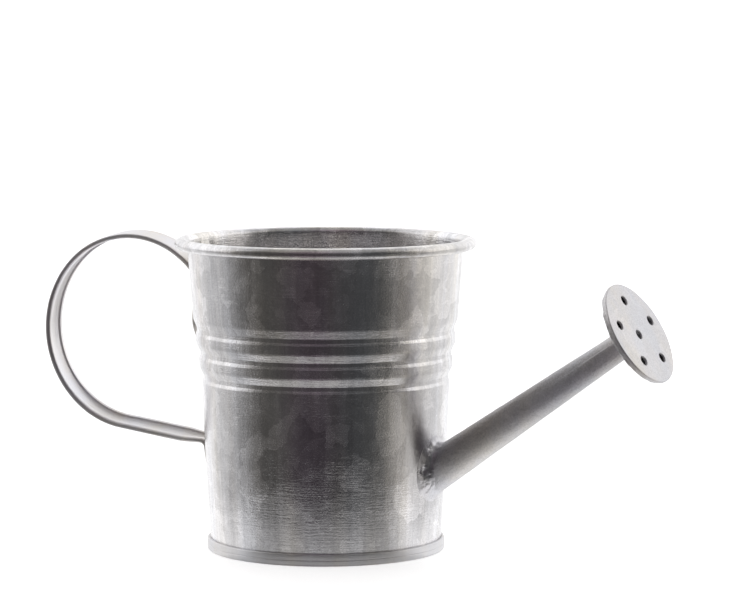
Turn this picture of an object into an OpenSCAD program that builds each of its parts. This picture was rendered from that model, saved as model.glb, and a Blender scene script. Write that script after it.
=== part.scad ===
// Small galvanised watering can: a tapered sheet can with a rolled rim and three swaged
// grooves, a crimped-on base, a folded-edge strap handle and a slanting spout with a rose.
// The origin is on the can's axis, on the surface that the can stands on.
// +Z is up and the spout points along +X.

/* [Can] */
// Height from the floor to the top of the rolled rim
can_h = 78.7; // [69:0.1:100]
// Diameter of the wall where it turns over into the rim
can_d = 69.5; // [52:0.1:90]
// How far the wall comes in from there to the upper groove
shoulder_in = 1.45; // [0.2:0.05:2]
// How far the fullest part of the wall's lower half lies in
belly_in = 4.25; // [3.5:0.05:5.3]
// Height of that fullest part above the floor
belly_z = 26; // [18:0.1:33]
// How far the foot of the wall lies in
foot_in = 5.6; // [4.8:0.05:8.3]
// Thickness of the sheet metal
sheet = 0.4; // [0.25:0.01:0.6]

/* [Rim] */
// Height of the rolled bead
bead_h = 2.9; // [2:0.1:4]
// How far the bead stands out from the wall
rim_out = 3.25; // [2.2:0.05:5]
// Width of the lap where the two ends of the wall sheet are joined
lap_w = 4; // [2:0.1:6]

/* [Grooves] */
// Number of swaged grooves
groove_count = 3; // [1:1:3]
// Distance of the upper groove's floor below the top of the rim
groove_drop = 23; // [22:0.1:26]
// Distance from one groove to the next
groove_pitch = 5.93; // [5:0.01:7.1]
// Depth of the upper groove's floor inside the wall above it
groove_depth = 0.85; // [0.4:0.01:1.2]
// How much further in the floor of each next groove lies
groove_step = 0.75; // [0.5:0.01:0.9]
// How far the wall springs out again under a groove
groove_lip = 0.28; // [0.1:0.01:0.4]
// Height of the slope that leads down into a groove
groove_slope_h = 2.6; // [1.5:0.1:3.1]
// Height of the short return under a groove
groove_return_h = 0.8; // [0.4:0.1:1.2]

/* [Base] */
// Height of the crimped ring round the foot
hem_h = 3.14; // [2.4:0.01:4]
// Thickness of that ring outside the wall
hem_t = 0.87; // [0.5:0.01:1.3]
// Height of the bottom's underside above the floor
base_recess = 1.5; // [0.6:0.1:2]

/* [Handle] */
// Outside radius of the handle's round loop
loop_r = 25.3; // [21:0.1:30.6]
// Distance from the wall under the rim out to the loop's centre
loop_gap = 20; // [16:0.05:22]
// Drop from the top of the rim to the top of the loop
loop_drop = 0.1; // [0:0.1:6]
// Width of the strap
strap_w = 7.8; // [6:0.1:11]
// Thickness of the strap
strap_t = 0.5; // [0.3:0.01:0.8]
// Height of the strap's rolled edges, which stand up on the inside of the loop
strap_edge_d = 1.3; // [1:0.05:1.8]
// Width of the strap's rolled edges
strap_edge_w = 1.1; // [0.6:0.05:1.4]
// Fall of the straight lower run towards the can, in degrees
run_fall = 7.7; // [0:0.1:12]
// Centreline radius of the bend into the upper leg
upper_bend_r = 3; // [2:0.1:5]
// Centreline radius of the bend into the lower leg
lower_bend_r = 1.6; // [1.2:0.1:3]
// Length of the upper leg along the wall
upper_leg_l = 15; // [9:0.1:18]
// Length of the lower leg along the wall
lower_leg_l = 8.5; // [6:0.1:11]
// Diameter of each weld button on the legs
weld_d = 3; // [2:0.1:4]

/* [Spout] */
// Height at which the spout's axis meets the wall
spout_z = 21.1; // [17:0.1:26]
// Rise of the spout, in degrees above level
spout_rise = 34.5; // [25:0.1:42]
// Length of the axis from the wall to the rose's face
spout_l = 65.7; // [52:0.1:80]
// Diameter of the spout at the wall
spout_root_d = 10; // [8:0.1:12.5]
// Diameter of the spout at the rose
spout_tip_d = 6.2; // [5:0.1:7.6]
// Reach of the root solder along the spout
root_solder_l = 4.2; // [3:0.1:6]
// Width of the root solder on the wall, beyond the spout
root_solder_w = 2.6; // [1.5:0.1:4]

/* [Rose] */
// Diameter of the rose
rose_d = 26.6; // [22:0.1:32]
// Thickness of the rose's face
rose_face_t = 0.5; // [0.4:0.05:0.8]
// Depth of the dish behind the face
rose_depth = 2.6; // [2:0.1:4]
// Angle by which the face leans down from square to the spout
rose_lean = 4.4; // [0:0.1:8]
// Diameter of each sprinkling hole
hole_d = 2.4; // [1.6:0.1:3]
// Radius of the ring of holes
hole_ring_r = 8.8; // [7:0.1:10]
// Number of holes in the ring
hole_count = 5; // [3:1:8]
// Turn of the first hole of the ring, in degrees
hole_turn = 14.4; // [0:0.1:72]
// Reach of the rose's solder along the spout
rose_solder_l = 3.4; // [2:0.1:5]
// Width of the rose's solder on the dish, beyond the spout
rose_solder_w = 2.2; // [1:0.1:3]

/* [Hidden] */
$fn = 96;

steel = [0.66, 0.66, 0.67];
dull_steel = [0.56, 0.56, 0.57];
pale_steel = [0.78, 0.78, 0.78];
solder = [0.5, 0.5, 0.5];

// Clearance between two pieces that lie against each other on a curve
touch = 0.02;
// How far a cutting shape runs past what it cuts
past = 1;
// How far the stretches of the strap run into each other
join = 0.2;

// The wall's outline, bottom to top, as [height, radius]
top_r = can_d / 2;
shoulder_r = top_r - shoulder_in;
belly_r = top_r - belly_in;
foot_r = top_r - foot_in;
bead_z = can_h - bead_h / 2;
groove_z = can_h - groove_drop;
function floor_z(i) = groove_z - i * groove_pitch;
function floor_r(i) = shoulder_r - groove_depth - i * groove_step;
function crest_r(i) = i == 0 ? shoulder_r : floor_r(i - 1) + groove_lip;
groove_line = [
    for (i = [groove_count - 1:-1:0])
        each [
            [floor_z(i) - groove_return_h, floor_r(i) + groove_lip],
            [floor_z(i), floor_r(i)],
            [floor_z(i) + groove_slope_h, crest_r(i)]
        ]
];
wall_line = concat(
    [[sheet, foot_r], [hem_h, foot_r], [belly_z, belly_r]],
    groove_line,
    [[bead_z, top_r]]
);
function wall_r(z) = lookup(z, wall_line);

// The rim: the wall's sheet rolled over outwards, round an oval, to a short gap at the wall
bead_half_w = (rim_out + sheet) / 2;
bead_r = top_r - sheet + bead_half_w;
bead_end = -120;
bead_steps = 10;
function bead_line(in) = [
    for (i = [0:bead_steps])
        let (a = 180 + (bead_end - 180) * i / bead_steps)
            [bead_r + (bead_half_w - in) * cos(a), bead_z + (bead_h / 2 - in) * sin(a)]
];

// The base's fold round the wall's foot
hem_in_r = foot_r - 2 * sheet - touch;
hem_out_r = foot_r + touch + hem_t;
hem_round = min(0.35, hem_t / 2);
hem_line_depth = 0.12;

// Each leg is pressed a little thinner than the strap
leg_press = 0.06;
leg_t = strap_t - leg_press;
leg_tip_share = 0.45;
leg_taper_l = 4;
leg_sector = 40;
weld_t = 0.25;

// The strap's centreline: a round loop, a bend into each leg and a straight lower run
arc_r = loop_r - strap_t / 2;
loop_x = top_r + loop_gap;
loop_z = can_h - loop_drop - loop_r;
function leg_r(z) = wall_r(z) + touch + leg_press / 2 + strap_t / 2;
function upper_angle(z) = acos((loop_x - leg_r(z) - upper_bend_r) / (arc_r - upper_bend_r));
function upper_bend_z(z) = loop_z + (arc_r - upper_bend_r) * sin(upper_angle(z));
upper_leg_z = upper_bend_z(upper_bend_z(upper_bend_z(loop_z)));
upper_turn = upper_angle(upper_leg_z);
lower_turn = -90 - run_fall;
arc_end = [-loop_x + arc_r * cos(lower_turn), loop_z + arc_r * sin(lower_turn)];
function run_end_x(z) = -leg_r(z) - lower_bend_r * (1 + cos(lower_turn));
function run_length(z) = (run_end_x(z) - arc_end[0]) / -sin(lower_turn);
function lower_bend_z(z) =
    arc_end[1] + run_length(z) * cos(lower_turn) + lower_bend_r * sin(lower_turn);
lower_leg_z = lower_bend_z(lower_bend_z(lower_bend_z(loop_z - loop_r)));
loop_centre = [-loop_x, loop_z];
upper_centre = loop_centre + (arc_r - upper_bend_r) * [cos(upper_turn), sin(upper_turn)];
lower_centre = [-leg_r(lower_leg_z) - lower_bend_r, lower_leg_z];
loop_sweep = 360 + lower_turn - upper_turn;
loop_steps = 72;
bend_steps = 8;
edge_gap = 0.6;

// The spout's taper, along its axis from the wall
spout_root_r = spout_root_d / 2;
spout_tip_r = spout_tip_d / 2;
function spout_r(l) = spout_root_r + (spout_tip_r - spout_root_r) * l / spout_l;
spout_end = spout_l - rose_depth + sheet + 0.6;
spout_back = spout_root_r * tan(spout_rise) + 3;
lap_turn = -88;
lap_sweep = 38;

// The rose
rose_r = rose_d / 2;
dish_floor_r = spout_tip_r + rose_solder_w + 0.4;
lip_t = 0.25;
lip_h = 0.7;
dish_r = rose_r - lip_t - touch;

// The wall as a filled solid, for cutting what is fitted against it
module wall_filled(gap) {
    rotate_extrude()
        polygon(concat(
            [[0, sheet]],
            [for (p = wall_line) [p[1] + gap, p[0]]],
            [[0, bead_z]]
        ));
}

// The wall's section: the sheet up to the rim, and round the bead
module wall_section() {
    inner = bead_line(sheet);
    outer = bead_line(0);
    polygon(concat(
        [for (p = wall_line) [p[1], p[0]]],
        [for (i = [1:bead_steps]) inner[i]],
        [for (i = [bead_steps:-1:1]) outer[i]],
        [for (i = [len(wall_line) - 1:-1:0]) [wall_line[i][1] - sheet, wall_line[i][0]]]
    ));
}

// The second layer of sheet where its two ends overlap, on the inside behind the handle
module wall_lap() {
    sweep = 2 * asin(lap_w / 2 / foot_r);
    first = [for (i = [1:len(wall_line) - 1]) wall_line[i]];
    rotate([0, 0, 180 - sweep / 2])
        rotate_extrude(angle = sweep)
            polygon(concat(
                [for (p = first) [p[1] - sheet / 2, p[0]]],
                [for (i = [len(first) - 1:-1:0]) [first[i][1] - 2 * sheet, first[i][0]]]
            ));
}

// Places children on the spout's axis: +Z runs out along the spout from the wall
module on_spout(along = 0) {
    translate([wall_r(spout_z), 0, spout_z])
        rotate([0, 90 - spout_rise, 0])
            translate([0, 0, along])
                children();
}

// A solid cone on the spout's taper, from one place on its axis to another
module spout_cone(from, to, gap = 0) {
    on_spout(from)
        cylinder(h = to - from, r1 = spout_r(from) + gap, r2 = spout_r(to) + gap);
}

// Places children on the rose: +Z is the face's outward normal, 0 is the face's back
module on_rose() {
    on_spout(spout_l)
        rotate([0, rose_lean, 0])
            translate([0, 0, -rose_face_t])
                children();
}

// The strap's side line round the loop and along the lower run, as [x, z], at a distance
// outside its centreline
function loop_line(out) = concat(
    [for (i = [0:loop_steps])
        let (a = upper_turn + loop_sweep * i / loop_steps)
            loop_centre + (arc_r + out) * [cos(a), sin(a)]],
    [lower_centre + (lower_bend_r - out) * [-cos(lower_turn), -sin(lower_turn)]]
);

// The same line with the bend into each leg at its ends
function strap_line(out) = concat(
    [for (i = [0:bend_steps - 1])
        let (a = upper_turn * i / bend_steps)
            upper_centre + (upper_bend_r + out) * [cos(a), sin(a)]],
    loop_line(out),
    [for (i = [1:bend_steps])
        let (a = (180 + lower_turn) * (1 - i / bend_steps))
            lower_centre + (lower_bend_r - out) * [cos(a), sin(a)]]
);

// A rolled edge's side line: its points lie between the strap's, and it stops short of the bend
function edge_line(out) = concat(
    [for (i = [0:loop_steps - 1])
        let (a = upper_turn + loop_sweep * (i + 0.5) / loop_steps)
            loop_centre + (arc_r + out) * [cos(a), sin(a)]],
    [lower_centre + (lower_bend_r - out) * [-cos(lower_turn), -sin(lower_turn)]
        - edge_gap * [-sin(lower_turn), cos(lower_turn)]]
);

// A band between two side lines, at a place on the strap's width
module strap_band(outer, inner, from, width) {
    translate([0, from + width, 0])
        rotate([90, 0, 0])
            linear_extrude(height = width)
                polygon(concat(
                    outer,
                    [for (i = [len(inner) - 1:-1:0]) inner[i]]
                ));
}

// A layer over the wall from height top down by length, between two distances from it
module wall_patch(top, length, from, to) {
    slope = (wall_r(top) - wall_r(top - 2)) / 2;
    low = top - length;
    top_at = wall_r(top) + touch;
    low_at = max(top_at - slope * length, wall_r(low) + touch);
    rotate([0, 0, 180 - leg_sector / 2])
        rotate_extrude(angle = leg_sector)
            polygon([
                [low_at + from, low],
                [low_at + to, low],
                [top_at + to, top],
                [top_at + from, top]
            ]);
}

// A leg of the strap, lying on the wall, with a tapered tip
module strap_leg(top, length) {
    low = top - length;
    tip_w = strap_w * leg_tip_share;
    intersection() {
        wall_patch(top + join, length + join, 0, leg_t);
        rotate([90, 0, -90])
            linear_extrude(height = can_d)
                polygon([
                    [-strap_w / 2, top + past],
                    [-strap_w / 2, low + leg_taper_l],
                    [-tip_w / 2, low - past / 4],
                    [tip_w / 2, low - past / 4],
                    [strap_w / 2, low + leg_taper_l],
                    [strap_w / 2, top + past]
                ]);
    }
}

// A flat weld button on the outside of a leg
module leg_button(top, length) {
    intersection() {
        wall_patch(top, length, leg_t + touch, leg_t + touch + weld_t);
        translate([-can_d, 0, top - length / 2])
            rotate([0, 90, 0])
                cylinder(h = can_d, d = weld_d);
    }
}

module body_wall() {
    color(steel)
        difference() {
            union() {
                rotate_extrude()
                    wall_section();
                wall_lap();
            }
            spout_cone(-spout_back, spout_back, -sheet);
        }
}

module base_pan() {
    color(dull_steel)
        rotate_extrude()
            polygon(concat(
                [
                    [0, base_recess],
                    [hem_in_r, base_recess],
                    [hem_in_r, 0]
                ],
                [for (a = [-90:30:0])
                    [hem_out_r - hem_round * (1 - cos(a)), hem_round * (1 + sin(a))]],
                [
                    [hem_out_r, hem_h / 2 - hem_line_depth],
                    [hem_out_r - hem_line_depth, hem_h / 2],
                    [hem_out_r, hem_h / 2 + hem_line_depth]
                ],
                [for (a = [0:30:90])
                    [hem_out_r - hem_round * (1 - cos(a)), hem_h - hem_round * (1 - sin(a))]],
                [
                    [foot_r + touch, hem_h],
                    [foot_r + touch, sheet],
                    [hem_in_r + sheet, sheet],
                    [hem_in_r + sheet, base_recess + sheet],
                    [0, base_recess + sheet]
                ]
            ));
}

module handle_strap() {
    half_t = strap_t / 2;
    half_w = strap_w / 2;
    rolled = edge_line(half_t - strap_edge_d);
    color(pale_steel)
        union() {
            strap_band(strap_line(half_t), strap_line(-half_t), -half_w, strap_w);
            strap_band(edge_line(0), rolled, -half_w, strap_edge_w);
            strap_band(edge_line(0), rolled, half_w - strap_edge_w, strap_edge_w);
            strap_leg(upper_leg_z, upper_leg_l);
            strap_leg(lower_leg_z, lower_leg_l);
        }
}

module handle_weld_upper() {
    color(solder)
        leg_button(upper_leg_z, upper_leg_l);
}

module handle_weld_lower() {
    color(solder)
        leg_button(lower_leg_z, lower_leg_l);
}

module spout_tube() {
    lap_from = spout_back + root_solder_l;
    lap_to = spout_l - rose_depth - rose_solder_l - 1;
    color(dull_steel)
        difference() {
            union() {
                spout_cone(-spout_back, spout_end);
                on_spout()
                    rotate([0, 0, lap_turn])
                        rotate_extrude(angle = lap_sweep)
                            polygon([
                                [spout_r(lap_from) - sheet / 2, lap_from],
                                [spout_r(lap_from) + sheet, lap_from],
                                [spout_r(lap_to) + sheet, lap_to],
                                [spout_r(lap_to) - sheet / 2, lap_to]
                            ]);
            }
            spout_cone(-spout_back - past, spout_end + past, -sheet);
            wall_filled(touch);
        }
}

module spout_root_solder() {
    reach = spout_back - 3 + root_solder_l;
    color(solder)
        difference() {
            on_spout(-spout_back)
                cylinder(
                    h = spout_back + reach,
                    r1 = spout_r(-spout_back) + root_solder_w + 0.5,
                    r2 = spout_r(reach) + 0.15
                );
            spout_cone(-spout_back - past, reach + past);
            wall_filled(touch);
        }
}

module rose_dish() {
    color(dull_steel)
        difference() {
            on_rose()
                rotate_extrude()
                    polygon([
                        [0, -rose_depth],
                        [dish_floor_r, -rose_depth],
                        [dish_r, -lip_h],
                        [dish_r, 0],
                        [dish_r - sheet, 0],
                        [dish_r - sheet, -lip_h + sheet / 2],
                        [dish_floor_r - sheet / 4, -rose_depth + sheet],
                        [0, -rose_depth + sheet]
                    ]);
            spout_cone(spout_l - rose_depth - 4, spout_l - past, touch);
        }
}

module rose_face() {
    color(pale_steel)
        on_rose()
            difference() {
                union() {
                    cylinder(h = rose_face_t, r = rose_r);
                    translate([0, 0, -lip_h])
                        difference() {
                            cylinder(h = lip_h + rose_face_t / 2, r = rose_r);
                            translate([0, 0, -past])
                                cylinder(h = lip_h + past, r = rose_r - lip_t);
                        }
                }
                translate([0, 0, -past])
                    cylinder(h = rose_face_t + 2 * past, d = hole_d);
                for (i = [0:hole_count - 1])
                    rotate([0, 0, 90 + hole_turn + i * 360 / hole_count])
                        translate([hole_ring_r, 0, -past])
                            cylinder(h = rose_face_t + 2 * past, d = hole_d);
            }
}

module rose_solder() {
    color(solder)
        difference() {
            on_rose()
                translate([0, 0, -rose_depth - rose_solder_l])
                    cylinder(
                        h = rose_solder_l,
                        r1 = spout_tip_r + 0.45,
                        r2 = spout_tip_r + rose_solder_w
                    );
            spout_cone(spout_l - rose_depth - rose_solder_l - 4, spout_l - past);
        }
}

body_wall();
base_pan();
handle_strap();
handle_weld_upper();
handle_weld_lower();
spout_tube();
spout_root_solder();
rose_dish();
rose_face();
rose_solder();
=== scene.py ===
"""A small galvanised watering can: detailed pieces and zinc finishes around the CAD frame."""
import math

import bmesh
import bpy
import numpy as np
from mathutils import Matrix, Vector, noise


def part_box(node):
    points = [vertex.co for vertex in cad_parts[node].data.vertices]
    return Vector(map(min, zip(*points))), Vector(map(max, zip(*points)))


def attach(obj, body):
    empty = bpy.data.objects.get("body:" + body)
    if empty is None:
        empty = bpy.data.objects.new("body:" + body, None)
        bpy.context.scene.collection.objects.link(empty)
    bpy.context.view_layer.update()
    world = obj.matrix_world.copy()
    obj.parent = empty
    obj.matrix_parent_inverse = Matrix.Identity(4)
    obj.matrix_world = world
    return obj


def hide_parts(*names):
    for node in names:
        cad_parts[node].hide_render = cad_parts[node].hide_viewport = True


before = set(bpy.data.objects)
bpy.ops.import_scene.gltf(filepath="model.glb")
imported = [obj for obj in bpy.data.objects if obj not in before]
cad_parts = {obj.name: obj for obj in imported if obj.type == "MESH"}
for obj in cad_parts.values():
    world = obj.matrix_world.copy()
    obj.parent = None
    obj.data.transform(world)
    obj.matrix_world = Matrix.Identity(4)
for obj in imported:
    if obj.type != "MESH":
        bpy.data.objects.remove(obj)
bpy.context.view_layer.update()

MM = 0.001  # every size below is in millimetres, in the CAD model's own frame
BODY = "root"

# ---------------------------------------------------------------- sizes from the frame


def corners_mm(node):
    """A CAD node's lowest and highest corner, in millimetres."""
    low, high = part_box(node)
    return Vector(low) / MM, Vector(high) / MM


wall_high = corners_mm("body_wall")[1]
base_low, base_high = corners_mm("base_pan")
strap_low, strap_high = corners_mm("handle_strap")
face_low, face_high = corners_mm("rose_face")

SHEET = 0.4
CAN_H = wall_high.z
RIM_R = wall_high.x
RIM_OUT = 3.25
BEAD_H = 2.9
WALL_TOP_R = RIM_R - RIM_OUT
BEAD_HALF_W = (RIM_R - WALL_TOP_R + SHEET) / 2
BEAD_Z = CAN_H - BEAD_H / 2
FOOT_R = WALL_TOP_R - 5.6
BELLY_R = WALL_TOP_R - 4.25
BELLY_Z = 26.0
SHOULDER_R = WALL_TOP_R - 1.45
GROOVE_Z = CAN_H - 23.0
GROOVE_PITCH = 5.93
GROOVE_DEPTH = 0.85
GROOVE_STEP = 0.75
GROOVE_LIP = 0.28
GROOVE_SLOPE_H = 2.6
LAP_W = 4.0

HEM_H = base_high.z
HEM_R = base_high.x
BASE_RECESS = 1.5

STRAP_W = strap_high.y - strap_low.y
STRAP_T = 0.5
EDGE_T = 1.3
EDGE_W = 1.6
LOOP_R = 25.1
LOOP_MARGIN = 0.31  # how far the loop stays inside the CAD strap's end
LOOP_X = -strap_low.x - LOOP_MARGIN - LOOP_R
LOOP_Z = 53.25
RUN_FALL = math.radians(7.7)
TILT_OUT = 0.06
TILT_UP_TOP = 0.085
TILT_UP_RUN = 0.24
FACE_DIP = 0.3  # how far the strap's inner face rises towards its folded edges
UPPER_BEND_R, LOWER_BEND_R = 3.0, 1.6
UPPER_LEG_L, LOWER_LEG_L = 15.0, 8.5
UPPER_LEG_LEAN = 0.05  # millimetres further out for each millimetre down
LOWER_LEG_LEAN = 0.14  # millimetres further in for each millimetre down
LOWER_LEG_STAND = 1.5  # how far the lower leg's top stands off the wall
WELD_R, WELD_H = 1.5, 0.22
UPPER_WELD_Z, LOWER_WELD_Z = 63.5, 20.0

SPOUT_Z = 21.1
SPOUT_RISE = math.radians(34.5)
SPOUT_L = 65.7
SPOUT_ROOT_R = 5.0
SPOUT_TIP_R = 3.1
ROSE_R = (face_high.y - face_low.y) / 2
ROSE_T = 0.5
ROSE_DEPTH = 2.6
ROSE_LEAN = math.radians(4.4)
ROSE_TURN = math.radians(-3.5)
SEAM_AT, SEAM_W = 250, 40  # the spout's lap seam: where it starts round the tube, in degrees
SEAM_STEP, SEAM_TIP_STEP = 0.05, 0.25  # the seam's height, and what it gains near the rose
SEAM_OPENS = 17  # how far below the tip the seam starts to stand up

# How far the root's solder reaches along the wall: everywhere, more on top, more on its near side
ROOT_REACH, ROOT_REACH_TOP, ROOT_REACH_NEAR = 1.0, 2.9, 1.9
ROOT_CLIMB, ROOT_CLIMB_TOP = 2.2, 1.6  # and how far it climbs up the spout
NECK_REACH, NECK_CLIMB = 1.7, 3.0  # the same for the solder behind the rose

HOLE_R = 1.2
HOLE_RING_R = 8.8
HOLE_TURN = 14.4
CENTRE_HOLE = (0.3, -0.96)

# ---------------------------------------------------------------- mesh helpers


def noise_at(x, y, z, seed=0.0):
    """Smooth noise from about -1 to 1."""
    return noise.noise(Vector((x + seed * 17.3, y - seed * 9.1, z + seed * 5.7)))


def make_piece(name, points, faces, material, replaces=(), smooth_angle=40):
    """A mesh object from points in millimetres, riding on the can."""
    mesh = bpy.data.meshes.new(name)
    mesh.from_pydata([tuple(p) for p in (np.asarray(points) * MM)], [], [tuple(f) for f in faces])
    mesh.validate()
    mesh.materials.append(material)
    piece = bpy.data.objects.new(name, mesh)
    bpy.context.scene.collection.objects.link(piece)
    fix_normals(piece)
    mesh.shade_smooth()
    mesh.set_sharp_from_angle(angle=math.radians(smooth_angle))
    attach(piece, BODY)
    if replaces:
        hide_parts(*replaces)
    return piece


def fix_normals(piece):
    """Turns every face to point out of the solid."""
    shell = bmesh.new()
    shell.from_mesh(piece.data)
    bmesh.ops.recalc_face_normals(shell, faces=shell.faces)
    shell.to_mesh(piece.data)
    shell.free()


def grid_faces(rows, columns, close_rows=True, close_columns=True):
    """Quads over a grid of points stored row by row."""
    faces = []
    for i in range(rows if close_rows else rows - 1):
        for j in range(columns if close_columns else columns - 1):
            a = i * columns + j
            b = i * columns + (j + 1) % columns
            c = ((i + 1) % rows) * columns + (j + 1) % columns
            d = ((i + 1) % rows) * columns + j
            faces.append((a, b, c, d))
    return faces


def rounded(points, radii, steps=5):
    """A polyline with an arc in place of each inner corner."""
    points = [np.array(p, float) for p in points]
    out = [points[0]]
    for before, corner, after, radius in zip(points, points[1:], points[2:], radii):
        u, v = before - corner, after - corner
        lu, lv = np.linalg.norm(u), np.linalg.norm(v)
        u, v = u / lu, v / lv
        angle = math.acos(float(np.clip(u @ v, -1, 1)))
        if radius <= 0 or angle > math.radians(179.5):
            out.append(corner)
            continue
        reach = min(radius / math.tan(angle / 2), 0.49 * lu, 0.49 * lv)
        radius = reach * math.tan(angle / 2)
        middle = corner + (u + v) / np.linalg.norm(u + v) * radius / math.sin(angle / 2)
        start, end = corner + u * reach - middle, corner + v * reach - middle
        sweep = math.acos(float(np.clip(start @ end / radius ** 2, -1, 1)))
        for k in range(steps + 1):
            t = k / steps
            out.append(middle + (start * math.sin((1 - t) * sweep) + end * math.sin(t * sweep))
                       / math.sin(sweep))
    out.append(points[-1])
    return np.array(out)


def resampled(points, spacing):
    """The same polyline with its long stretches cut into steps of about the spacing."""
    out = [points[0]]
    for a, b in zip(points, points[1:]):
        count = max(1, int(np.linalg.norm(b - a) / spacing))
        for k in range(1, count + 1):
            out.append(a + (b - a) * k / count)
    return np.array(out)


def offset_line(points, distance):
    """A polyline moved sideways by a distance, to the left of its run."""
    tangent = np.gradient(points, axis=0)
    tangent /= np.linalg.norm(tangent, axis=1)[:, None]
    return points + distance * np.stack([-tangent[:, 1], tangent[:, 0]], 1)


def arc_points(centre, radius, start, end, steps):
    """Points on a circle, from one angle to another, in degrees."""
    a = np.radians(np.linspace(start, end, steps + 1))
    return np.stack([centre[0] + radius * np.cos(a), centre[1] + radius * np.sin(a)], 1)


def revolve(section, angles, push=None):
    """A closed section (radius, height) turned about Z; push(r, z, angle) moves its points out."""
    points = []
    for r, z in section:
        for a in angles:
            d = push(r, z, a) if push else 0.0
            points.append(((r + d) * math.cos(a), (r + d) * math.sin(a), z))
    return np.array(points), grid_faces(len(section), len(angles))


# ---------------------------------------------------------------- materials


class Graph:
    """Short names for building one material's nodes."""

    def __init__(self, name):
        self.material = bpy.data.materials.new(name)
        self.material.use_nodes = True
        self.tree = self.material.node_tree
        self.shader = self.tree.nodes["Principled BSDF"]
        self.place = self.tree.nodes.new("ShaderNodeTexCoord").outputs["Object"]

    def node(self, kind, **settings):
        made = self.tree.nodes.new(kind)
        for key, value in settings.items():
            setattr(made, key, value)
        return made

    def link(self, source, target):
        self.tree.links.new(source, target)

    def scaled(self, x, y, z, vector=None):
        """The place on the object times a factor along each axis (per metre)."""
        made = self.node("ShaderNodeMapping")
        made.inputs["Scale"].default_value = (x, y, z)
        self.link(vector or self.place, made.inputs["Vector"])
        return made.outputs["Vector"]

    def noise(self, vector, scale=1.0, detail=3.0, roughness=0.55, distortion=0.0):
        made = self.node("ShaderNodeTexNoise")
        made.inputs["Scale"].default_value = scale
        made.inputs["Detail"].default_value = detail
        made.inputs["Roughness"].default_value = roughness
        made.inputs["Distortion"].default_value = distortion
        self.link(vector, made.inputs["Vector"])
        return made.outputs["Fac"]

    def cells(self, vector, scale):
        """A random value for each crystal-like cell."""
        made = self.node("ShaderNodeTexVoronoi", feature="SMOOTH_F1")
        made.inputs["Scale"].default_value = scale
        made.inputs["Smoothness"].default_value = 0.12
        self.link(vector, made.inputs["Vector"])
        split = self.node("ShaderNodeSeparateColor")
        self.link(made.outputs["Color"], split.inputs["Color"])
        return split.outputs["Red"]

    def spread(self, value, low, high, to_low, to_high):
        """Maps low..high to to_low..to_high, without going past either."""
        made = self.node("ShaderNodeMapRange")
        for key, number in zip(("From Min", "From Max", "To Min", "To Max"),
                               (low, high, to_low, to_high)):
            made.inputs[key].default_value = number
        self.link(value, made.inputs["Value"])
        return made.outputs["Result"]

    def maths(self, operation, a, b):
        made = self.node("ShaderNodeMath", operation=operation)
        for k, value in enumerate((a, b)):
            if isinstance(value, (int, float)):
                made.inputs[k].default_value = value
            else:
                self.link(value, made.inputs[k])
        return made.outputs["Value"]

    def ramp(self, value, stops):
        made = self.node("ShaderNodeValToRGB")
        elements = made.color_ramp.elements
        while len(elements) < len(stops):
            elements.new(0.5)
        for element, (at, colour) in zip(elements, stops):
            element.position = at
            element.color = (*colour, 1.0)
        self.link(value, made.inputs["Fac"])
        return made.outputs["Color"]

    def bump(self, height, strength, distance):
        made = self.node("ShaderNodeBump")
        made.inputs["Strength"].default_value = strength
        made.inputs["Distance"].default_value = distance
        self.link(height, made.inputs["Height"])
        self.link(made.outputs["Normal"], self.shader.inputs["Normal"])


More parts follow.
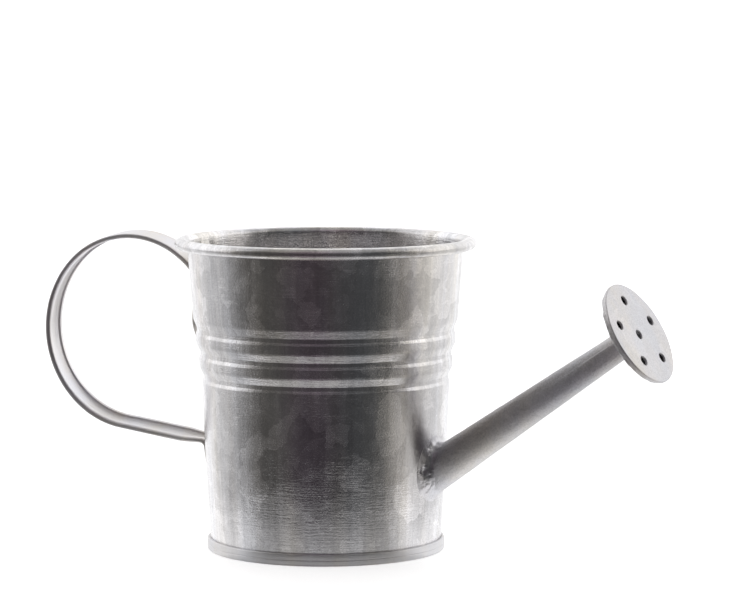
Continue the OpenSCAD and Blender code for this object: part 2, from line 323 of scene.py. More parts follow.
def zinc(name, dark, light, rough, rough_spread, spangle=0.5, streaks=0.5, lines=0.5, grain=0.5):
    """Galvanised sheet: crystal patches, streaks along the height, fine lines and grain.

    Its colour goes from dark to light with the sum of those, and each is given a strength.
    """
    g = Graph(name)
    warp = g.node("ShaderNodeTexNoise")
    warp.inputs["Scale"].default_value = 300
    warp.inputs["Detail"].default_value = 4
    g.link(g.place, warp.inputs["Vector"])
    bent = g.node("ShaderNodeVectorMath", operation="MULTIPLY_ADD")
    g.link(warp.outputs["Color"], bent.inputs[0])
    bent.inputs[1].default_value = (0.005, 0.005, 0.005)
    g.link(g.place, bent.inputs[2])
    big = g.cells(g.scaled(1, 1, 0.8, bent.outputs["Vector"]), 135)
    small = g.cells(bent.outputs["Vector"], 420)
    patch = g.maths("ADD", g.spread(big, 0.70, 0.74, 0.0, 0.65),
                    g.spread(small, 0.78, 0.84, 0.0, 0.35))
    streak = g.maths("ADD", g.maths("MULTIPLY", g.noise(g.scaled(420, 420, 6), 1.0, 4, 0.65), 0.5),
                     g.maths("MULTIPLY", g.noise(g.scaled(130, 130, 3), 1.0, 3, 0.5), 0.5))
    cloud = g.noise(g.place, scale=90, detail=6, roughness=0.65)
    fine = g.noise(g.place, scale=2400, detail=3, roughness=0.7)
    line = g.noise(g.scaled(140, 140, 3000), scale=1.0, detail=3, roughness=0.7)
    tone = g.maths("MULTIPLY", patch, 0.30 * spangle)
    tone = g.maths("ADD", tone, g.maths("MULTIPLY", streak, 0.5 * streaks))
    tone = g.maths("ADD", tone, g.maths("MULTIPLY", cloud, 0.35))
    tone = g.maths("ADD", tone, g.maths("MULTIPLY", fine, 0.5 * grain))
    middle = 0.25 * streaks + 0.175 + 0.25 * grain
    colour = g.ramp(g.spread(tone, middle - 0.28, middle + 0.34, 0.0, 1.0),
                    [(0.0, dark), (1.0, light)])
    hue = g.noise(g.scaled(75, 75, 6), scale=1.0, detail=3, roughness=0.6)
    tint = g.ramp(g.spread(hue, 0.34, 0.66, 0.0, 1.0),
                  [(0.0, (0.96, 0.96, 1.0)), (0.5, (0.99, 0.97, 0.98)), (1.0, (1.0, 0.96, 0.91))])
    tinted = g.node("ShaderNodeVectorMath", operation="MULTIPLY")
    g.link(colour, tinted.inputs[0])
    g.link(tint, tinted.inputs[1])
    g.link(tinted.outputs["Vector"], g.shader.inputs["Base Color"])
    speck = g.spread(fine, 0.58, 0.70, 0.0, 1.0)
    matt = g.spread(cloud, 0.25, 0.75, rough - rough_spread, rough + rough_spread)
    matt = g.maths("ADD", matt, g.maths("MULTIPLY", patch, 0.12 * spangle))
    matt = g.maths("ADD", matt, g.maths("MULTIPLY", speck, 0.12 * grain))
    g.link(matt, g.shader.inputs["Roughness"])
    g.shader.inputs["Metallic"].default_value = 1.0
    brushed = g.spread(g.noise(g.scaled(1, 1, 1.6), scale=70, detail=3), 0.35, 0.65, 0.35, 1.25)
    height = g.maths("MULTIPLY", g.maths("MULTIPLY", line, lines), brushed)
    height = g.maths("ADD", height, g.maths("MULTIPLY", fine, grain))
    g.bump(height, 0.8, 0.0001)
    return g.material


WALL = zinc("wall_zinc", (0.36, 0.36, 0.36), (1.0, 1.0, 1.0), 0.17, 0.06, spangle=0.7, streaks=1.7,
            lines=0.9, grain=0.6)
BASE = zinc("base_zinc", (0.50, 0.50, 0.50), (0.78, 0.78, 0.78), 0.36, 0.08, streaks=0.3)
STRAP = zinc("strap_zinc", (0.74, 0.74, 0.75), (1.0, 1.0, 1.0), 0.42, 0.08, spangle=0.2,
             streaks=0.2)
SPOUT = zinc("spout_zinc", (0.52, 0.52, 0.52), (1.0, 1.0, 1.0), 0.56, 0.06, spangle=0.3, grain=1.6)
SOLDER = zinc("solder_grey", (0.40, 0.40, 0.41), (0.84, 0.84, 0.85), 0.34, 0.14, grain=0.9)
DULL = zinc("dull_grey", (0.50, 0.50, 0.50), (0.92, 0.92, 0.92), 0.50, 0.10, grain=1.0)
ROSE = zinc("rose_zinc", (0.52, 0.52, 0.52), (1.0, 1.0, 1.0), 0.52, 0.06, streaks=0.1, grain=1.2)

# ---------------------------------------------------------------- can wall


def groove_floor(i):
    """A groove's deepest point as (radius, height), from the top one down."""
    return SHOULDER_R - GROOVE_DEPTH - i * GROOVE_STEP, GROOVE_Z - i * GROOVE_PITCH


def wall_corners():
    """The wall's outer line from the foot to the rim, and the radius of each inner corner."""
    line = [(FOOT_R, SHEET, 0), (FOOT_R, HEM_H, 2), (BELLY_R, BELLY_Z, 40)]
    for i in (2, 1, 0):
        r, z = groove_floor(i)
        crest = SHOULDER_R if i == 0 else groove_floor(i - 1)[0] + GROOVE_LIP
        line += [(r + GROOVE_LIP, z - 1.2, 0.9), (r, z - 0.42, 0.5), (r, z + 0.5, 0.5),
                 (crest, z + GROOVE_SLOPE_H, 2.4)]
    line += [(WALL_TOP_R, BEAD_Z, 0)]
    return [(r, z) for r, z, _ in line], [c for _, _, c in line[1:-1]]


WALL_CORNERS, WALL_ROUNDS = wall_corners()


def wall_radius(z):
    """The wall's outer radius at a height."""
    return float(np.interp(z, [c[1] for c in WALL_CORNERS], [c[0] for c in WALL_CORNERS]))


def bead_line(inset):
    """The rim's roll as (radius, height), over the top from the can's inside to its tucked end."""
    a = np.radians(np.linspace(180, -130, 40))
    return np.stack([WALL_TOP_R - SHEET + BEAD_HALF_W + (BEAD_HALF_W - inset) * np.cos(a),
                     BEAD_Z + (BEAD_H / 2 - inset) * np.sin(a)], 1)


def wall_section():
    """The closed section of the wall, rolled rim and all, as (radius, height)."""
    outer = resampled(rounded(WALL_CORNERS, WALL_ROUNDS, 7), 0.9)
    inner = offset_line(outer, SHEET)[::-1]
    return np.vstack([outer, bead_line(SHEET)[1:], bead_line(0)[:0:-1], inner[1:]])


def wall_angles():
    """Angles round the can, with extra ones at the edges of the lap."""
    half = math.asin(LAP_W / 2 / FOOT_R)
    extra = [math.pi + s * half + e for s in (-1, 1) for e in (-0.0012, 0.0012)]
    return np.sort(np.concatenate([np.linspace(0, 2 * math.pi, 360, endpoint=False), extra]))


def wall_push(r, z, a):
    """The sheet's small waves and dents, and the lap on its inside."""
    c, s = math.cos(a), math.sin(a)
    if z > BEAD_Z + 0.01 or r > WALL_TOP_R + 0.05:
        return -0.05 * (1 + noise_at(3 * c, 3 * s, 0, 4)) * min(1.0, max(0.0, r - WALL_TOP_R) / 2)
    push = 0.03 * noise_at(7 * c, 7 * s, z * 0.012, 1)
    push += 0.012 * noise_at(20 * c, 20 * s, z * 0.02, 2)
    push += 0.1 * noise_at(1.6 * c, 1.6 * s, z * 0.03, 3)
    half = math.asin(LAP_W / 2 / FOOT_R)
    if r < wall_radius(z) - SHEET / 2 and abs(a - math.pi) < half and z > HEM_H:
        push -= SHEET
    return push * min(1.0, (BEAD_Z + 0.01 - z) / 3)


def spout_radius(along):
    """The spout's outer radius at a distance along it from the wall."""
    return SPOUT_ROOT_R + (SPOUT_TIP_R - SPOUT_ROOT_R) * along / SPOUT_L


# Each pit: its turn round the spout and place on the fillet, its two half sizes and its depth
PITS = [(262, 0.3, 10, 0.15, 1.0), (217, 0.28, 7, 0.14, 0.75)]

SPOUT_FRAME = (Matrix.Translation((wall_radius(SPOUT_Z), 0, SPOUT_Z))
               @ Matrix.Rotation(math.pi / 2 - SPOUT_RISE, 4, "Y"))
ROSE_FRAME = (SPOUT_FRAME @ Matrix.Translation((0, 0, SPOUT_L))
              @ Matrix.Rotation(ROSE_LEAN, 4, "Y") @ Matrix.Rotation(-ROSE_TURN, 4, "X")
              @ Matrix.Translation((0, 0, -ROSE_T)))


def placed(points, matrix):
    """The points, moved and turned by a frame."""
    return np.array([matrix @ Vector(p) for p in points])


def cut_with(piece, points, faces):
    """Cuts a closed shape, given in millimetres, out of a piece."""
    mesh = bpy.data.meshes.new("cutter")
    mesh.from_pydata([tuple(p) for p in (np.asarray(points) * MM)], [], [tuple(f) for f in faces])
    cutter = bpy.data.objects.new("cutter", mesh)
    bpy.context.scene.collection.objects.link(cutter)
    fix_normals(cutter)
    modifier = piece.modifiers.new("cut", "BOOLEAN")
    modifier.operation = "DIFFERENCE"
    modifier.solver = "EXACT"
    modifier.object = cutter
    bpy.context.view_layer.update()
    evaluated = piece.evaluated_get(bpy.context.evaluated_depsgraph_get())
    result = bpy.data.meshes.new_from_object(evaluated)
    piece.modifiers.clear()
    piece.data = result
    bpy.data.objects.remove(cutter)


def tapered_rod(from_along, to_along, radius, sides=64):
    """A closed cone round the spout's axis; radius(along) gives its size."""
    points = []
    for along in (from_along, to_along):
        for k in range(sides):
            a = 2 * math.pi * k / sides
            points.append((radius(along) * math.cos(a), radius(along) * math.sin(a), along))
    faces = grid_faces(2, sides, close_rows=False)
    faces += [tuple(range(sides)), tuple(range(sides, 2 * sides))]
    return placed(points, SPOUT_FRAME), faces


wall_points, wall_faces = revolve(wall_section(), wall_angles(), wall_push)
wall = make_piece("can_wall", wall_points, wall_faces, WALL, ["body_wall"])
cut_with(wall, *tapered_rod(-6, 6, lambda along: spout_radius(along) - SHEET))

# ---------------------------------------------------------------- base


def base_section():
    """The bottom and the ring folded up round the foot of the wall."""
    inner_r = FOOT_R - 2 * SHEET - 0.02
    outline = [(0.01, BASE_RECESS), (inner_r - 5, BASE_RECESS), (inner_r - 4.2, BASE_RECESS + 0.35),
               (inner_r - 1.5, BASE_RECESS + 0.35), (inner_r, BASE_RECESS), (inner_r, 0.0),
               (HEM_R - 0.03, 0.0), (HEM_R - 0.02, HEM_H * 0.5 - 0.1), (HEM_R - 0.16, HEM_H * 0.5),
               (HEM_R - 0.05, HEM_H * 0.5 + 0.1), (HEM_R - 0.08, HEM_H), (FOOT_R + 0.03, HEM_H),
               (FOOT_R + 0.03, SHEET), (inner_r + SHEET, SHEET),
               (inner_r + SHEET, BASE_RECESS + SHEET + 0.35), (0.01, BASE_RECESS + SHEET + 0.35)]
    radii = [1, 1, 0.6, 0.3, 0.25, 0.5, 0.1, 0.12, 0.1, 0.42, 0.15, 0, 0, 0.3]
    return resampled(rounded(outline, radii), 1.5)


def base_push(r, z, a):
    """Small uneven places in the folded ring."""
    if r < FOOT_R:
        return 0.0
    c, s = math.cos(a), math.sin(a)
    return -0.035 * (1 + noise_at(9 * c, 9 * s, z * 0.3, 5))


base_points, base_faces = revolve(base_section(), np.linspace(0, 2 * math.pi, 256, endpoint=False),
                                  base_push)
make_piece("can_base", base_points, base_faces, BASE, ["base_pan"])

# ---------------------------------------------------------------- handle


def leg_face(z):
    """How far out a leg's middle is put, as if its folded edges faced the wall and lay on it.

    Only the lower leg's edges face the wall. The upper leg's face away, so it clears the wall by
    about 0.6 mm even before it leans, and neither leg touches the wall as the legs are set now.
    """
    r = wall_radius(z)
    return math.sqrt(r * r - (STRAP_W / 2) ** 2) + EDGE_T - STRAP_T / 2 + 0.03


def strap_route():
    """The strap's centreline as (x, z), and how many points each leg has."""
    arc_r = LOOP_R - STRAP_T / 2
    # Both heights start from a guess, and three rounds settle them
    low_turn = -90 - math.degrees(RUN_FALL)
    upper_z, lower_z = LOOP_Z + 14.7, 23.0
    for _ in range(3):
        turn = math.degrees(math.acos((LOOP_X - leg_face(upper_z) - UPPER_BEND_R)
                                      / (arc_r - UPPER_BEND_R)))
        upper_z = LOOP_Z + (arc_r - UPPER_BEND_R) * math.sin(math.radians(turn))
    centre = np.array([-LOOP_X, LOOP_Z])
    up = centre + (arc_r - UPPER_BEND_R) * np.array([math.cos(math.radians(turn)),
                                                     math.sin(math.radians(turn))])
    end = centre + arc_r * np.array([math.cos(math.radians(low_turn)),
                                     math.sin(math.radians(low_turn))])
    run = np.array([math.cos(RUN_FALL), -math.sin(RUN_FALL)])
    for _ in range(3):
        bend_x = -leg_face(lower_z) - LOWER_LEG_STAND - LOWER_BEND_R
        length = (bend_x + LOWER_BEND_R * math.sin(RUN_FALL) - end[0]) / run[0]
        corner = end + run * length
        low = corner - LOWER_BEND_R * np.array([math.sin(RUN_FALL), math.cos(RUN_FALL)])
        lower_z = low[1]
    upper = [(-leg_face(upper_z) - UPPER_LEG_LEAN * (upper_z - z), z)
             for z in np.linspace(upper_z - UPPER_LEG_L, upper_z, 20)]
    lower = [(-leg_face(lower_z) - LOWER_LEG_STAND + LOWER_LEG_LEAN * (lower_z - z), z)
             for z in np.linspace(lower_z, lower_z - LOWER_LEG_L, 14)]
    line = np.vstack([
        upper[:-1],
        arc_points(up, UPPER_BEND_R, 0, turn, 10)[:-1],
        arc_points(centre, arc_r, turn, 360 + low_turn, 120)[:-1],
        [end + run * length * t for t in np.linspace(0, 1, 18)[:-1]],
        arc_points(low, LOWER_BEND_R, 90 - math.degrees(RUN_FALL), 0, 10)[:-1],
        lower,
    ])
    return line, len(upper) - 1, len(lower) - 1


def strap_section(edge_t, half_w):
    """One closed outline of the strap, as (outwards, along its width): each edge is folded over
    onto the inside."""
    half_t = STRAP_T / 2
    low = half_t - edge_t
    flat = half_w - EDGE_W
    points = []
    for side in (1, -1):
        corner_line = [(half_t, 0), (half_t, half_w), (low, half_w), (low, flat),
                       (-half_t - FACE_DIP, flat), (-half_t, flat - 1.0), (-half_t, 0)]
        half = rounded(corner_line, [edge_t * 0.25, edge_t * 0.5, 0.2, 0.06, 2.0], 5)
        half = [(o, side * w) for o, w in resampled(half, 0.7)]
        points += half[:-1] if side == 1 else half[::-1][:-1]
    return points


def strap_shell(line, upper_count, lower_count):
    """The strap along its route, tilted where it runs free, with narrowed ends."""
    along = np.concatenate([[0], np.cumsum(np.linalg.norm(np.diff(line, axis=0), axis=1))])
    tangent = np.gradient(line, axis=0)
    tangent /= np.linalg.norm(tangent, axis=1)[:, None]
    first, last = along[upper_count], along[-1 - lower_count]
    points = []
    for k, (x, z) in enumerate(line):
        s = along[k]
        share = float(np.clip((s - first) / (last - first), 0, 1))
        free = float(np.clip(min(s - first, last - s) / 9.0, 0, 1))
        free = free * free * (3 - 2 * free)
        tip = float(np.clip(min(s, along[-1] - s) / 5.0, 0, 1))
        half_w = STRAP_W / 2 * (0.5 + 0.5 * math.sin(tip * math.pi / 2))
        half_w -= 0.06 * (1 + noise_at(s * 0.11, 0, 0, 13))
        edge_t = EDGE_T * (0.8 + 0.2 * tip)
        tilt_up = float(np.interp(share, [0.0, 0.5, 0.85], [TILT_UP_TOP, TILT_UP_TOP, TILT_UP_RUN]))
        run = Vector((tangent[k][0], 0, tangent[k][1]))
        across = Vector((-TILT_OUT * free, 1, tilt_up * free))
        across = (across - run * across.dot(run)).normalized()
        out = across.cross(run)
        wave = 0.05 * noise_at(s * 0.09, 2, 0, 14) * free
        for o, w in strap_section(edge_t, half_w):
            points.append(Vector((x, 0, z)) + out * (o + wave) + across * w)
    rows = len(line)
    columns = len(points) // rows
    faces = grid_faces(rows, columns, close_rows=False)
    faces += [tuple(range(columns)), tuple(range((rows - 1) * columns, rows * columns))]
    return np.array(points), faces


def weld_mark(name, node, z, leg):
    """A shallow round spot on the outside of a leg, whose points run from low to high.

    It sits on the leg alone and doesn't reach through to the wall.
    """
    x = float(np.interp(z, leg[:, 1], leg[:, 0])) - STRAP_T / 2 - 0.02
    rings, sides, points = 6, 32, []
    for i in range(rings):
        r = WELD_R * (1 - i / rings)
        for k in range(sides):
            a = 2 * math.pi * k / sides
            lump = 1 + 0.12 * noise_at(math.cos(a) * 1.5, math.sin(a) * 1.5, i, 15)
            points.append((x - WELD_H * (1 - (r / WELD_R) ** 2) * lump, r * lump * math.cos(a),
                           z + r * lump * math.sin(a)))
    points.append((x - 0.2, 0, z))
    faces = grid_faces(rings, sides, close_rows=False) + [tuple(range(sides))]
    top = (rings - 1) * sides
    faces += [(top + k, top + (k + 1) % sides, rings * sides) for k in range(sides)]
    make_piece(name, points, faces, SOLDER, [node], 60)


route, upper_steps, lower_steps = strap_route()
handle_points, handle_faces = strap_shell(route, upper_steps, lower_steps)
make_piece("handle", handle_points, handle_faces, STRAP, ["handle_strap"], 50)
weld_mark("weld_upper", "handle_weld_upper", UPPER_WELD_Z, route[:upper_steps + 1])
weld_mark("weld_lower", "handle_weld_lower", LOWER_WELD_Z, route[:-2 - lower_steps:-1])

# ---------------------------------------------------------------- spout and rose


def spout_shell():
    """The spout's tube with the step of its lap seam, open at both ends."""
    sides, points = 96, []
    stations = np.concatenate([np.linspace(-4.6, 6, 12), np.linspace(7, SPOUT_L - 2.2, 60)])
    for radius_offset in (0.0, -SHEET):
        line = stations if radius_offset == 0 else stations[::-1]
        for along in line:
            for k in range(sides):
                a = 2 * math.pi * k / sides
                r = spout_radius(along) + radius_offset
                if radius_offset == 0:
                    seam = ((math.degrees(a) - SEAM_AT) % 360) / SEAM_W
                    stands = float(np.clip((along - SPOUT_L + SEAM_OPENS) / 5, 0, 1))
                    lap = SEAM_STEP + SEAM_TIP_STEP * stands
                    r += lap * (1 - seam) if seam < 1 else 0.0
                    r += 0.05 * noise_at(math.cos(a) * 2, math.sin(a) * 2, along * 0.12, 6)
                    r += 0.03 * noise_at(math.cos(a) * 6, math.sin(a) * 6, along * 0.5, 16)
                points.append((r * math.cos(a), r * math.sin(a), along))
    return placed(points, SPOUT_FRAME), grid_faces(2 * len(stations), sides)


spout_points, spout_faces = spout_shell()
make_piece("spout", spout_points, spout_faces, SPOUT, ["spout_tube"], 30)


def fillet_faces(steps, sides):
    """Faces of a closed collar: steps + 1 rings of its outside, then one ring hidden inside it."""
    faces = grid_faces(steps + 1, sides, close_rows=False)
    top, back = steps * sides, (steps + 1) * sides
    for k in range(sides):
        n = (k + 1) % sides
        faces += [(k, n, back + n, back + k), (top + k, top + n, back + n, back + k)]
    return faces


def root_solder():
    """A fillet of solder from the wall onto the spout, lumpy and with two pits."""
    sides, steps, points = 220, 26, []
    lean = math.tan(SPOUT_RISE)
    for j in range(steps + 1):
        t = j / steps
        for k in range(sides):
            a = 2 * math.pi * k / sides
            c, s = math.cos(a), math.sin(a)
            up = 0.5 - 0.5 * c
            near = max(0.0, -s) ** 2
            reach = (ROOT_REACH + ROOT_REACH_TOP * up ** 3 + ROOT_REACH_NEAR * near
                     + 0.45 * noise_at(c * 2.0, s * 2.0, 0, 7))
            climb = ROOT_CLIMB + ROOT_CLIMB_TOP * up ** 2 + 0.9 * noise_at(c * 1.6, s * 1.6, 0, 9)
            r0 = SPOUT_ROOT_R + reach
            start = np.array([r0, -lean * r0 * c])
            corner = np.array([SPOUT_ROOT_R, -lean * SPOUT_ROOT_R * c])
            end = np.array([spout_radius(corner[1] + climb), corner[1] + climb])
            r, along = (1 - t) ** 2 * start + 2 * t * (1 - t) * corner + t * t * end
            lump = 0.2 * noise_at(c * 5, s * 5, t * 3, 8)
            lump += 0.1 * noise_at(c * 13, s * 13, t * 8, 10)
            lump += 0.12
            for at, place, wide, tall, deep in PITS:
                off = ((math.degrees(a) - at + 180) % 360 - 180) / wide
                lump -= deep * math.exp(-off * off - ((t - place) / tall) ** 2)
            edge = max(0.0, math.sin(math.pi * t)) ** 0.5
            r += lump * edge * (0.3 + 0.7 * t)
            along += lump * edge * (1 - t)
            p = SPOUT_FRAME @ Vector((r * c, r * s, along))
            wall_r = wall_radius(p.z)
            wall_x = math.sqrt(max(wall_r ** 2 - p.y ** 2, 1))
            p.x += (wall_x - wall_radius(SPOUT_Z)) * (1 - t) ** 2
            p.x = max(p.x, wall_x - 0.12)
            points.append(p)
    for k in range(sides):
        a = 2 * math.pi * k / sides
        r = SPOUT_ROOT_R - 0.25
        points.append(SPOUT_FRAME @ Vector((r * math.cos(a), r * math.sin(a),
                                            -lean * r * math.cos(a) - 0.3)))
    return np.array(points), fillet_faces(steps, sides)


solder_points, solder_faces = root_solder()
make_piece("root_solder", solder_points, solder_faces, SOLDER, ["spout_root_solder"], 60)


def rose_disc():
    """The rose's face: a thin disc with a short folded edge."""
    section = [(0.001, 0.0), (ROSE_R - 0.35, 0.0), (ROSE_R - 0.35, -0.3), (ROSE_R - 0.02, -0.3),
               (ROSE_R - 0.02, ROSE_T), (0.001, ROSE_T)]
    line = resampled(rounded(section, [0, 0.05, 0.1, 0.22]), 0.8)
    angles = np.linspace(0, 2 * math.pi, 180, endpoint=False)

    def push(r, z, a):
        edge = max(0.0, (r - ROSE_R + 1.5) / 1.5)
        return -0.02 * edge * (1 + noise_at(6 * math.cos(a), 6 * math.sin(a), 0, 11))

    points, faces = revolve(line, angles, push)
    for p in points:
        p[2] += 0.10 * noise_at(p[0] * 0.2, p[1] * 0.2, 0, 12)
    return placed(points, ROSE_FRAME), faces


def rose_shell():
    """The shallow cone behind the face, rough with solder along its edge."""
    floor_r = SPOUT_TIP_R + 2.6
    section = [(SPOUT_TIP_R, -ROSE_DEPTH), (floor_r, -ROSE_DEPTH), (ROSE_R - 1.2, -1.5),
               (ROSE_R - 0.45, -1.05), (ROSE_R - 0.45, -0.32), (ROSE_R - 1.1, -0.32),
               (floor_r, -ROSE_DEPTH + SHEET), (SPOUT_TIP_R, -ROSE_DEPTH + SHEET)]
    line = resampled(rounded(section, [1, 0.8, 0.4, 0.15, 0.1, 0.8]), 0.5)
    angles = np.linspace(0, 2 * math.pi, 200, endpoint=False)

    def push(r, z, a):
        c, s = math.cos(a), math.sin(a)
        rough = 0.16 * noise_at(9 * c, 9 * s, z, 17) + 0.1 * noise_at(24 * c, 24 * s, z * 2, 18)
        return rough * max(0.0, min(1.0, (r - 6) / 5))

    points, faces = revolve(line, angles, push)
    for p in points:
        if p[2] < -0.4:
            p[2] += 0.14 * noise_at(p[0] * 0.5, p[1] * 0.5, 0, 19)
    return placed(points, ROSE_FRAME), faces


def rose_lumps():
    """The collar of rough solder between the spout and the rose."""
    sides, steps, points = 160, 20, []
    for j in range(steps + 1):
        t = j / steps
        for k in range(sides):
            a = 2 * math.pi * k / sides
            c, s = math.cos(a), math.sin(a)
            reach = NECK_REACH + 0.7 * noise_at(2 * c, 2 * s, 0, 20)
            climb = NECK_CLIMB + 1.2 * noise_at(1.7 * c, 1.7 * s, 0, 21)
            tip = SPOUT_TIP_R + 0.1
            start, corner, end = (tip + reach, 0.0), (tip, 0.0), (tip, climb)
            r = (1 - t) ** 2 * start[0] + 2 * t * (1 - t) * corner[0] + t * t * end[0]
            down = t * t * end[1]
            lump = 0.22 * noise_at(4 * c, 4 * s, t * 3, 22)
            lump += 0.12 * noise_at(11 * c, 11 * s, t * 7, 23)
            r += (lump + 0.12) * math.sin(math.pi * t) ** 0.6
            points.append((r * c, r * s, -ROSE_DEPTH - down + 0.1))
    for k in range(sides):
        a = 2 * math.pi * k / sides
        points.append(((SPOUT_TIP_R - 0.2) * math.cos(a), (SPOUT_TIP_R - 0.2) * math.sin(a),
                       -ROSE_DEPTH - 0.6))
    return placed(points, ROSE_FRAME), fillet_faces(steps, sides)


rose_points, rose_faces = rose_disc()
rose = make_piece("rose_face_disc", rose_points, rose_faces, ROSE, ["rose_face"])

HOLES = [CENTRE_HOLE] + [
    (HOLE_RING_R * math.cos(math.radians(90 + HOLE_TURN + 72 * k)),
     HOLE_RING_R * math.sin(math.radians(90 + HOLE_TURN + 72 * k))) for k in range(5)]
for hx, hy in HOLES:
    profile = [(0.001, -1.5), (HOLE_R - 0.05, -1.5), (HOLE_R - 0.05, ROSE_T - 0.34),
               (HOLE_R + 0.06, ROSE_T - 0.1), (HOLE_R + 0.34, ROSE_T + 0.2), (0.001, ROSE_T + 0.6)]
    hole_points, hole_faces = revolve(profile, np.linspace(0, 2 * math.pi, 32, endpoint=False))
    cut_with(rose, placed(hole_points + [hx, hy, 0], ROSE_FRAME), hole_faces)
shell_points, shell_faces = rose_shell()
make_piece("rose_back", shell_points, shell_faces, DULL, ["rose_dish"], 50)
lump_points, lump_faces = rose_lumps()
make_piece("rose_lumps", lump_points, lump_faces, DULL, ["rose_solder"], 60)


# ---------------------------------------------------------------- stage, light and camera

CAMERA_TURN = math.radians(26.0)
CAMERA_REACH = 842.8
CAMERA_Z = 143.1
AIM_RIGHT, AIM_Z = 12.4, 62.95
LENS = 161.5


# The floor's glow as the can's foot sees it: two bearings round the can, in degrees from straight
# in front, and a strength
GLOW_SECTORS = [(-115, -60, 1.15), (-60, -50, 0.8), (-50, -40, 0.6), (-40, 42, 0.48), (42, 50, 0.6),
                (50, 58, 0.8), (58, 115, 1.3)]
GLOW_NEAR, GLOW_FAR = 0.031, 0.068  # metres from the can's axis
FLOOR_HALF = 60.0  # metres
FLOOR_GAP = 0.00005  # metres below the base


def emission(name, strength):
    """A material that only glows."""
    material = bpy.data.materials.new(name)
    material.use_nodes = True
    tree = material.node_tree
    tree.nodes.clear()
    glow = tree.nodes.new("ShaderNodeEmission")
    glow.inputs["Strength"].default_value = strength
    output = tree.nodes.new("ShaderNodeOutputMaterial")
    tree.links.new(glow.outputs["Emission"], output.inputs["Surface"])
    return material


def stage_mesh(name, points, faces, material):
    """A mesh object that belongs to the stage and not to the can."""
    mesh = bpy.data.meshes.new(name)
    mesh.from_pydata(points, [], faces)
    mesh.materials.append(material)
    made = bpy.data.objects.new(name, mesh)
    bpy.context.scene.collection.objects.link(made)
    return made


def add_stage():
    """A wide white floor, and flat glows round the can's foot that only its metal sees."""
    half, level = FLOOR_HALF, base_low.z * MM - FLOOR_GAP
    g = Graph("floor_white")
    g.shader.inputs["Base Color"].default_value = (0.95, 0.95, 0.95, 1)
    g.shader.inputs["Roughness"].default_value = 0.5
    g.shader.inputs["Emission Color"].default_value = (1, 1, 1, 1)
    g.shader.inputs["Emission Strength"].default_value = 0.65
    floor = stage_mesh("floor", [(-half, -half, level), (half, -half, level), (half, half, level),
                                 (-half, half, level)], [(0, 1, 2, 3)], g.material)
    floor.visible_glossy = False
    sides = 12
    for number, (start, end, strength) in enumerate(GLOW_SECTORS):
        turns = [CAMERA_TURN + math.radians(start + (end - start) * k / (sides - 1))
                 for k in range(sides)]
        ring = [(r * math.sin(a), -r * math.cos(a), level - 0.0001)
                for r in (GLOW_NEAR, GLOW_FAR) for a in turns]
        name = f"floor_glow_{number}"
        glow = stage_mesh(name, ring, grid_faces(2, sides, close_rows=False, close_columns=False),
                          emission(name, strength))
        glow.visible_camera = False
        glow.visible_diffuse = False
        glow.visible_shadow = False


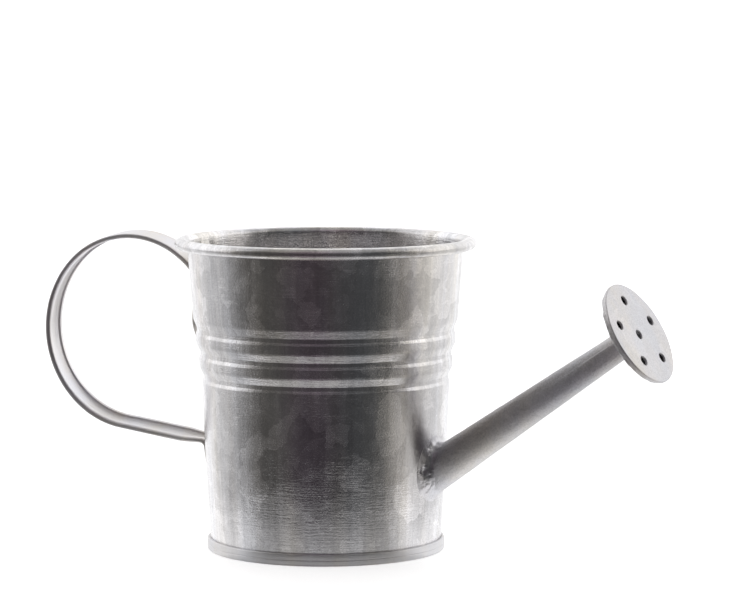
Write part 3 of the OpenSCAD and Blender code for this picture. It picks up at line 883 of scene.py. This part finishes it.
def add_world():
    """White light from the back, the sides and above; a dim room on the camera's side."""
    world = bpy.data.worlds.new("studio")
    bpy.context.scene.world = world
    world.use_nodes = True
    tree = world.node_tree
    tree.nodes.clear()
    place = tree.nodes.new("ShaderNodeTexCoord").outputs["Generated"]

    def maths(operation, a, b=0.0):
        made = tree.nodes.new("ShaderNodeMath")
        made.operation = operation
        for k, value in enumerate((a, b)):
            if isinstance(value, (int, float)):
                made.inputs[k].default_value = value
            else:
                tree.links.new(value, made.inputs[k])
        return made.outputs["Value"]

    def ramp(value, stops):
        """A grey level or colour for a value, from pairs of value and level; levels may pass 1."""
        low, high = stops[0][0], stops[-1][0]
        made = tree.nodes.new("ShaderNodeValToRGB")
        elements = made.color_ramp.elements
        while len(elements) < len(stops):
            elements.new(0.5)
        for element, (at, level) in zip(elements, stops):
            element.position = (at - low) / (high - low)
            colour = level if isinstance(level, tuple) else (level, level, level)
            element.color = (*colour, 1)
        tree.links.new(maths("DIVIDE", maths("SUBTRACT", value, low), high - low),
                       made.inputs["Fac"])
        return made.outputs["Color"]

    turn = tree.nodes.new("ShaderNodeVectorRotate")
    turn.rotation_type = "Z_AXIS"
    turn.inputs["Angle"].default_value = -CAMERA_TURN
    tree.links.new(place, turn.inputs["Vector"])
    split = tree.nodes.new("ShaderNodeSeparateXYZ")
    tree.links.new(turn.outputs["Vector"], split.inputs["Vector"])
    side, depth, height = (split.outputs[k] for k in "XYZ")
    bearing = maths("ARCTAN2", side, maths("MULTIPLY", depth, -1.0))
    degrees = maths("MULTIPLY", bearing, 180 / math.pi)
    low = ramp(degrees, [(-180, 1.1), (-150, 1.3), (-135, 1.0), (-112, 0.66), (-92, 0.5),
                         (-80, 0.24), (-68, 0.11), (-45, 0.085), (-20, 0.06), (10, 0.06),
                         (45, 0.08), (56, 0.13), (66, 0.28), (76, 0.62), (110, 0.78),
                         (135, 1.0), (150, 1.3), (180, 1.1)])
    high = ramp(degrees, [(-180, 1.1), (-150, 1.3), (-88, 1.2), (-72, 0.12), (-45, 0.085),
                          (-20, 0.06), (10, 0.06), (45, 0.08), (68, 0.12), (84, 1.2), (150, 1.3),
                          (180, 1.1)])

    def sine(angle):
        return math.sin(math.radians(angle))

    above = ramp(height, [(-1, 0), (sine(-4), 0), (sine(3), 1), (1, 1)])
    level = maths("ADD", maths("MULTIPLY", high, above),
                  maths("MULTIPLY", low, maths("SUBTRACT", 1.0, above)))
    ceiling = ramp(height, [(-1, 0), (sine(40), 0), (sine(66), 1), (1, 1)])
    level = maths("ADD", maths("MULTIPLY", level, maths("SUBTRACT", 1.0, ceiling)),
                  maths("MULTIPLY", ceiling, 0.36))
    lift = ramp(height, [(-1, 0.5), (sine(-67), 0.32), (sine(-45), 0.22), (sine(-22), 0),
                         (sine(12), 0), (sine(35), 0.15), (sine(57), 0.22), (1, 0.36)])
    brighter = maths("MAXIMUM", level, lift)
    view = tree.nodes.new("ShaderNodeLightPath").outputs["Is Camera Ray"]
    shown = maths("ADD", maths("MULTIPLY", brighter, maths("SUBTRACT", 1.0, view)), view)
    background = tree.nodes.new("ShaderNodeBackground")
    tint = ramp(degrees, [(-180, (1, 1, 1)), (-95, (1, 1, 1)), (-72, (1, 0.95, 0.88)),
                          (-42, (1, 0.99, 0.97)), (-30, (1, 0.84, 0.98)), (0, (1, 0.82, 0.98)),
                          (9, (0.97, 0.96, 1)), (40, (0.93, 0.97, 1)), (72, (1, 0.95, 0.87)),
                          (100, (1, 1, 1)), (180, (1, 1, 1))])
    tree.links.new(tint, background.inputs["Color"])
    tree.links.new(shown, background.inputs["Strength"])
    output = tree.nodes.new("ShaderNodeOutputWorld")
    tree.links.new(background.outputs["Background"], output.inputs["Surface"])


def add_camera():
    right = Vector((math.cos(CAMERA_TURN), math.sin(CAMERA_TURN), 0))
    back = Vector((math.sin(CAMERA_TURN), -math.cos(CAMERA_TURN), 0))
    eye = (back * CAMERA_REACH + Vector((0, 0, CAMERA_Z))) * MM
    aim = (right * AIM_RIGHT + Vector((0, 0, AIM_Z))) * MM
    data = bpy.data.cameras.new("camera")
    data.lens = LENS
    data.sensor_width = 36.0
    data.clip_start = 0.05
    camera = bpy.data.objects.new("camera", data)
    camera.location = eye
    camera.rotation_euler = (aim - eye).to_track_quat("-Z", "Y").to_euler()
    bpy.context.scene.collection.objects.link(camera)
    bpy.context.scene.camera = camera


add_stage()
add_world()
add_camera()
bpy.context.scene.view_settings.view_transform = "Standard"
